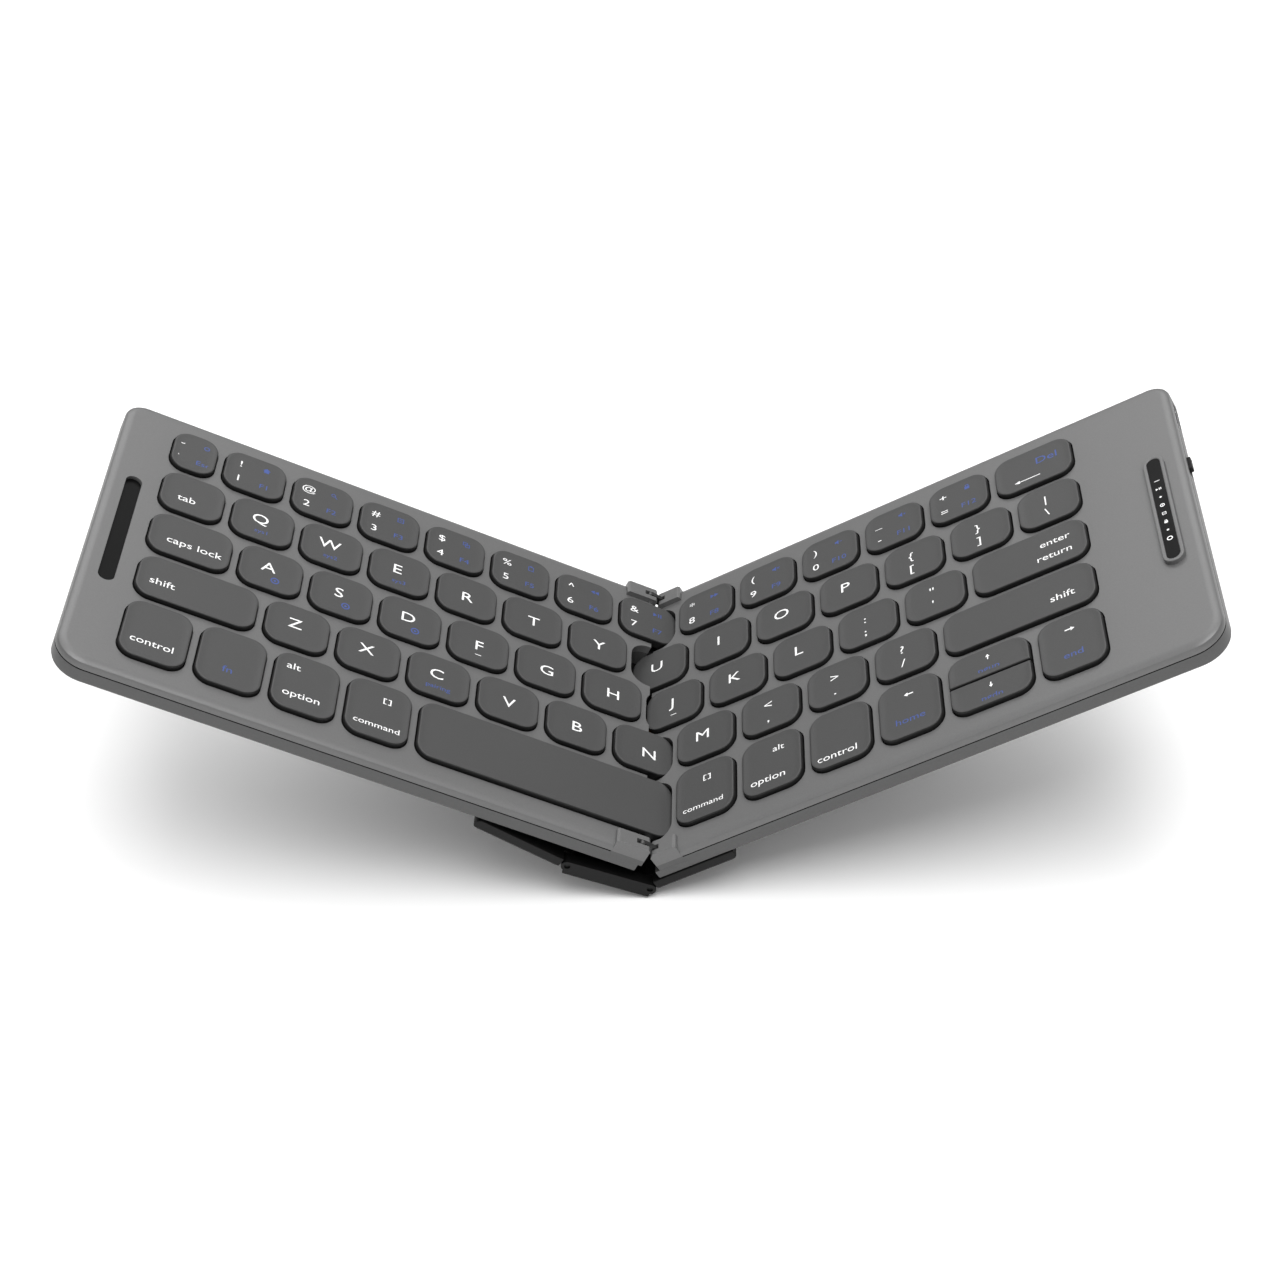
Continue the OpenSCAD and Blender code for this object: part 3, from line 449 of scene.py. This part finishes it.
SHAPES = {
    "long_arrow": poly([(-3.4, 0), (-2.0, -0.55), (-2.0, 0.55)], box2(-2.0, 3.4, -0.14, 0.14)),
    "arrow_left": poly([(-1.1, 0), (-0.2, -0.6), (-0.2, 0.6)], box2(-0.2, 1.1, -0.16, 0.16)),
    "arrow_right": poly([(0.2, -0.6), (1.1, 0), (0.2, 0.6)], box2(-1.1, 0.2, -0.16, 0.16)),
    "arrow_up": poly([(-0.6, 0.1), (0.6, 0.1), (0, 1.0)], box2(-0.16, 0.16, -0.9, 0.1)),
    "arrow_down": poly([(-0.6, -0.1), (0, -1.0), (0.6, -0.1)], box2(-0.16, 0.16, -0.1, 0.9)),
    "bar": poly(box2(-1.0, 1.0, -0.12, 0.12)),
    "corners": poly(box2(-1.0, -0.7, -1.0, 1.0), box2(-0.7, -0.2, 0.75, 1.0),
                    box2(-0.7, -0.2, -1.0, -0.75), box2(0.7, 1.0, -1.0, 1.0),
                    box2(0.2, 0.7, 0.75, 1.0), box2(0.2, 0.7, -1.0, -0.75)),
    "house": poly([(-1.1, 0), (1.1, 0), (0, 1.0)], box2(-0.7, 0.7, -0.9, 0)),
    "search": joined(disc(0.65, 14, 0.42, -0.2, 0.2), poly(stroke(0.25, -0.25, 0.9, -0.9, 0.26))),
    "select": poly(*frame2(-0.9, 0.9, -0.9, 0.9, 0.24), box2(-0.35, 0.35, -0.12, 0.12)),
    "copy": poly(*frame2(-1.0, 0.35, -0.35, 1.0, 0.22), *frame2(-0.35, 1.0, -1.0, 0.35, 0.22)),
    "paste": poly(*frame2(-0.8, 0.8, -1.0, 0.8, 0.22), box2(-0.35, 0.35, 0.8, 1.1)),
    "previous": poly([(-1.2, 0), (0, -0.7), (0, 0.7)], [(0, 0), (1.2, -0.7), (1.2, 0.7)]),
    "next": poly([(-1.2, -0.7), (0, 0), (-1.2, 0.7)], [(0, -0.7), (1.2, 0), (0, 0.7)]),
    "play": poly([(-1.3, -0.7), (-0.2, 0), (-1.3, 0.7)], box2(0.1, 0.42, -0.7, 0.7),
                 box2(0.8, 1.12, -0.7, 0.7)),
    "mute": poly(*SPEAKER, stroke(0.4, -0.4, 1.1, 0.4, 0.2), stroke(0.4, 0.4, 1.1, -0.4, 0.2)),
    "quieter": poly(*SPEAKER, box2(0.4, 1.1, -0.11, 0.11)),
    "louder": poly(*SPEAKER, box2(0.4, 1.1, -0.11, 0.11), box2(0.64, 0.86, -0.35, 0.35)),
    "lock": poly(box2(-0.7, 0.7, -0.9, 0.15), box2(-0.5, -0.25, 0.15, 0.7), box2(0.25, 0.5, 0.15, 0.7),
                 box2(-0.5, 0.5, 0.7, 0.95)),
    "ring": disc(0.8, 16, 0.52),
    "target": joined(disc(0.85, 16, 0.58), disc(0.26, 8)),
    "dot": disc(0.3, 10),
}


def mark(bm, what, x, y, size, index, side, centre, height, align="centre"):
    """Prints one mark on the surface that is this height above the leaf."""
    if what in SHAPES:
        points, faces = SHAPES[what]
        points = [(px * size, py * size) for px, py in points]
    else:
        points, faces = letters(what, size)
        left, right = min(p[0] for p in points), max(p[0] for p in points)
        shift = {"centre": -(left + right) / 2, "left": -left, "right": -right}[align]
        points = [(px + shift, py - size / 2) for px, py in points]
    turn = -1 if side == "left" else 1
    made = []
    for px, py in points:
        lx, ly = centre[0] + turn * (x + px), centre[1] + y + py
        made.append(bm.verts.new((lx, ly, height)))
    for face in faces:
        try:
            new = bm.faces.new([made[i] for i in face])
        except ValueError:
            continue
        new.material_index = index
        new.normal_update()
        if new.normal.z < 0:
            new.normal_flip()


def digit(shift, number, icon, function):
    return [(shift, -4.0, 2.8, 2.3, 0), (number, -4.0, -3.0, 2.3, 0), (icon, 2.6, 3.4, 0.95, 1),
            (function, 2.6, -3.2, 1.7, 1)]


def letter(text, *more):
    return [(text, -0.7, 0.9, 3.3, 0)] + list(more)


def low_letter(text, *more):
    return [(text, 0.1, -0.2, 3.3, 0)] + list(more)


def two(upper, lower):
    return [(upper, -0.6, 2.0, 2.6, 0), (lower, -0.6, -2.8, 2.6, 0)]


LEGENDS = {
    "left_digit_keys": [digit("&", "7", "play", "F7"), digit("^", "6", "previous", "F6"),
                        digit("%", "5", "paste", "F5"), digit("$", "4", "copy", "F4"),
                        digit("#", "3", "select", "F3"), digit("@", "2", "search", "F2"),
                        digit("!", "1", "house", "F1"), digit("~", "`", "ring", "Esc")],
    "left_upper_keys": [low_letter("Y"), low_letter("T"), low_letter("R"),
                        letter("E", ("sys3", 0, -3.7, 1.3, 1)),
                        letter("W", ("sys2", 0, -3.7, 1.3, 1)), letter("Q", ("sys1", 0, -3.7, 1.3, 1))],
    "left_home_keys": [low_letter("H"), low_letter("G"), low_letter("F", ("bar", 0, -3.7, 0.8, 0)),
                       letter("D", ("target", 1.4, -3.3, 1.3, 1)),
                       letter("S", ("target", 1.4, -3.3, 1.3, 1)),
                       letter("A", ("target", 1.4, -3.3, 1.3, 1))],
    "left_lower_keys": [[("N", 1.3, -0.8, 3.3, 0)], low_letter("B"), low_letter("V"),
                        letter("C", ("pairing", 0, -3.6, 1.4, 1)), letter("X"), letter("Z")],
    "tab_key": [[("tab", -3.6, -1.7, 2.2, 0, "left")]],
    "caps_key": [[("caps lock", -5.6, -1.7, 2.2, 0, "left")]],
    "left_shift_key": [[("shift", -11.4, -1.3, 2.2, 0, "left")]],
    "space_key": [[]],
    "left_command_key": [[("corners", 1.8, 4.0, 1.0, 0), ("command", 0, -4.9, 1.75, 0)]],
    "left_option_key": [[("alt", -3.5, 5.1, 2.1, 0), ("option", -0.6, -4.0, 2.1, 0)]],
    "fn_key": [[("fn", -0.5, -3.6, 2.1, 1)]],
    "left_control_key": [[("control", -0.4, -3.7, 2.1, 0)]],
    "right_digit_keys": [digit("*", "8", "next", "F8"), digit("(", "9", "mute", "F9"),
                         digit(")", "0", "quieter", "F10"), digit("_", "-", "louder", "F11"),
                         digit("+", "=", "lock", "F12")],
    "right_upper_keys": [letter("U"), letter("I"), letter("O"), letter("P"), two("{", "["), two("}", "]"),
                         two("|", "\\")],
    "right_home_keys": [letter("J", ("bar", 0, -3.7, 0.8, 0)), letter("K"), letter("L"), two(":", ";"),
                        two('"', "'")],
    "right_lower_keys": [letter("M"), two("<", ","), two(">", "."), two("?", "/")],
    "delete_key": [[("Del", 3.7, 1.8, 2.5, 1), ("long_arrow", -1.9, -3.9, 1.0, 0)]],
    "enter_key": [[("enter", 10.6, 2.2, 2.1, 0, "right"), ("return", 10.6, -2.6, 2.1, 0, "right")]],
    "right_shift_key": [[("shift", 14.0, -1.7, 2.2, 0, "right")]],
    "right_command_key": [[("corners", 0.6, 4.0, 1.0, 0), ("command", -0.5, -4.9, 1.65, 0)]],
    "right_option_key": [[("alt", 1.9, 4.4, 1.9, 0), ("option", -1.1, -4.9, 2.1, 0)]],
    "right_control_key": [[("control", -1.0, -5.8, 2.1, 0)]],
    "left_arrow_key": [[("arrow_left", 0, 4.6, 1.1, 0), ("home", 0.0, -3.8, 2.0, 1)]],
    "up_arrow_key": [[("arrow_up", 0, 1.6, 0.9, 0), ("pgup", 0, -2.2, 1.7, 1)]],
    "down_arrow_key": [[("arrow_down", 0, 1.6, 0.9, 0), ("pgdn", 0, -2.2, 1.7, 1)]],
    "right_arrow_key": [[("arrow_right", 0, 4.6, 1.1, 0), ("end", 0.0, -3.8, 2.0, 1)]],
}

for node, (side, row, first, last, *half) in KEYS.items():
    caps, print_ = bmesh.new(), bmesh.new()
    for i in range(first, last + 1):
        cell, radii = cell_of(side, row, i, *half)
        keycap(caps, cell, radii)
        middle = ((cell[0] + cell[1]) / 2, (cell[2] + cell[3]) / 2)
        for text, x, y, size, index, *align in LEGENDS[node][i - first]:
            mark(print_, text, x, y, size, index, side, middle, PRINT_Z, *align)
    into_place(caps, side)
    add(node + "_caps", caps, [KEY_FACE, KEY_SIDE_SHADE], node, (node,), sharp=50)
    if len(print_.verts):
        into_place(print_, side)
        add(node + "_print", print_, [WHITE, BLUE], node)
    else:
        print_.free()

# ---- Shells with softened edges ----

# The bottom cases take the case colour painted darker as shade, and the faces in their groove take the
# painted seam shadow
for level, width, mat in (("top", 0.14, CASE), ("bottom", 0.15, CASE_SIDE_SHADE)):
    for side in ("left", "right"):
        refined(f"{side}_{level}_case", width, [mat, SEAM], face_material=in_seam(side))
# The hinge blocks are painted darker below the seam, as shade
left_blocks = shade_below_seam(refined("left_hinge_blocks", 0.2, [CASE, CASE_SIDE_SHADE]), "left")
# Their inner faces stand back a little, as the right case lies beside them when the leaves are flat
for vertex in left_blocks.data.vertices:
    spot = PLACE["left"].inverted() @ vertex.co
    if BLOCK_D - BLOCK_BELOW < spot.y < BLOCK_D + BLOCK_ABOVE:
        spot.y -= BLOCK_GAP
    if BLOCK_D - BLOCK_BELOW < LEAF_D - spot.y < BLOCK_D + BLOCK_ABOVE:
        spot.y += BLOCK_GAP
    vertex.co = PLACE["left"] @ spot
shade_below_seam(refined("right_hinge_blocks", 0.2, [CASE, CASE_SIDE_SHADE]), "right")
refined("hinge_links", 0.08, [DARK_STEEL])
refined("status_bezel", 0.22, [CASE], segments=3)
refined("status_window", 0.08, [GLOSS])
refined("left_slot_strip", 0.1, [GLOSS])
refined("right_wing", 0.3, [TRIM], segments=3)
refined("left_wing", 0.3, [TRIM], segments=3)
refined("spine_bar", 0.2, [TRIM])
refined("power_knob", 0.15, [TRIM])
refined("charging_socket", 0.06, [STEEL])
refined("left_feet", 0.35, [FOOT], segments=3)
refined("right_feet", 0.35, [FOOT], segments=3)

# ---- Lights of the status bar ----

lamps = bmesh.new()
LIGHTS = [("bar", 0.7), ("play", 0.55), ("dot", 1.0), ("target", 0.7), ("select", 0.55), ("lock", 0.6),
          ("dot", 1.0), ("ring", 0.9)]
bezel_x = RIGHT_LENGTH - BEZEL_INSET
for k, (shape, size) in enumerate(LIGHTS):
    mark(lamps, shape, 0, LIGHTS_START - LIGHTS_PITCH * k - LEAF_D / 2, size, 0, "right",
         (bezel_x, LEAF_D / 2), LIGHTS_Z)
into_place(lamps, "right")
add("status_lights", lamps, [LAMP], "right_leaf")

# ---- Plain finishes for the pieces inside ----

for name, mat in {
        "left_support_plate": PLATE, "right_support_plate": PLATE, "left_switch_film": FILM,
        "right_switch_film": FILM, "left_domes": DOME, "right_domes": DOME, "left_scissors": ARM,
        "right_scissors": ARM, "battery": CELL, "main_board": BOARD, "flex_ribbon": RIBBON,
        "left_screws": STEEL, "right_screws": STEEL, "left_hinge_pins": STEEL, "fold_pins": STEEL,
        "spine_pin": PIN_BLACK, "wing_pin": PIN_BLACK}.items():
    nodes[name].data.materials.clear()
    nodes[name].data.materials.append(mat)

# ---- Floor, light and camera ----

FLOOR_SIZE = 6.0
FLOOR_LEVEL = 0.96             # its colour
FLOOR_LIFT = 0.04              # what it glows with in the picture only
SKY_SIDE, SKY_TOP = 0.12, 1.0  # strength of the world low down and overhead
AIM = (0, 0, 0.03)             # where the lights point

# The camera, as solved from the photo's key grid. Its place is in millimetres from the fold pin.
CAMERA_RIGHT = Vector((0.998641, 0.022919, -0.046799))
CAMERA_UP = Vector((0.021391, 0.638616, 0.769228))
CAMERA_BACK = Vector((0.047517, -0.769184, 0.637258))
CAMERA_PLACE = Vector((25.315, -422.231, 416.487))
FOCAL_PIXELS, PHOTO_PIXELS, SENSOR = 2515.71, 1280, 36


def plane(name, size, z, mat):
    mesh = bpy.data.meshes.new(name)
    s = size / 2
    mesh.from_pydata([(-s, -s, z), (s, -s, z), (s, s, z), (-s, s, z)], [], [(0, 1, 2, 3)])
    mesh.materials.append(mat)
    obj = bpy.data.objects.new(name, mesh)
    bpy.context.scene.collection.objects.link(obj)
    return obj


paper = bpy.data.materials.new("floor_white")
paper.use_nodes = True
tree = paper.node_tree
shader = tree.nodes["Principled BSDF"]
shader.inputs["Base Color"].default_value = (*[FLOOR_LEVEL] * 3, 1)
shader.inputs["Roughness"].default_value = 0.9
shader.inputs["Specular IOR Level"].default_value = 0.1
rays = tree.nodes.new("ShaderNodeLightPath")
seen = tree.nodes.new("ShaderNodeMath")
seen.operation = "MAXIMUM"
tree.links.new(rays.outputs["Is Camera Ray"], seen.inputs[0])
tree.links.new(rays.outputs["Is Glossy Ray"], seen.inputs[1])
lift = tree.nodes.new("ShaderNodeMath")
lift.operation = "MULTIPLY"
lift.inputs[1].default_value = FLOOR_LIFT
tree.links.new(seen.outputs[0], lift.inputs[0])
shader.inputs["Emission Color"].default_value = (1, 1, 1, 1)
tree.links.new(lift.outputs[0], shader.inputs["Emission Strength"])
plane("floor", FLOOR_SIZE, 0.0, paper)

world = bpy.data.worlds.new("studio")
bpy.context.scene.world = world
world.use_nodes = True
sky = world.node_tree
direction = sky.nodes.new("ShaderNodeTexCoord")
height = sky.nodes.new("ShaderNodeSeparateXYZ")
sky.links.new(direction.outputs["Generated"], height.inputs[0])
overhead = sky.nodes.new("ShaderNodeMapRange")
overhead.inputs["From Min"].default_value = 0.1
overhead.inputs["From Max"].default_value = 0.9
overhead.inputs["To Min"].default_value = SKY_SIDE
overhead.inputs["To Max"].default_value = SKY_TOP
sky.links.new(height.outputs["Z"], overhead.inputs["Value"])
sky.nodes["Background"].inputs["Color"].default_value = (1, 1, 1, 1)
sky.links.new(overhead.outputs["Result"], sky.nodes["Background"].inputs["Strength"])


def lamp(name, place, target, size, power):
    data = bpy.data.lights.new(name, "AREA")
    data.shape = "SQUARE"
    data.size = size
    data.energy = power
    obj = bpy.data.objects.new(name, data)
    obj.location = place
    obj.rotation_mode = "QUATERNION"
    obj.rotation_quaternion = (Vector(target) - Vector(place)).to_track_quat("-Z", "Y")
    bpy.context.scene.collection.objects.link(obj)


lamp("key_light", (0.15, -0.35, 1.3), AIM, 0.9, 13)
lamp("rear_light", (-0.1, 0.9, 0.9), AIM, 0.8, 5)

camera = bpy.data.objects.new("camera", bpy.data.cameras.new("camera"))
bpy.context.scene.collection.objects.link(camera)
turn = Matrix((CAMERA_RIGHT, CAMERA_UP, CAMERA_BACK)).transposed().to_4x4()
camera.matrix_world = Matrix.Translation(CAMERA_PLACE * MM + FOLD) @ turn
camera.data.sensor_width = SENSOR
camera.data.lens = FOCAL_PIXELS / PHOTO_PIXELS * SENSOR
camera.data.clip_start = 0.01
bpy.context.scene.camera = camera
bpy.context.scene.view_settings.view_transform = "Standard"
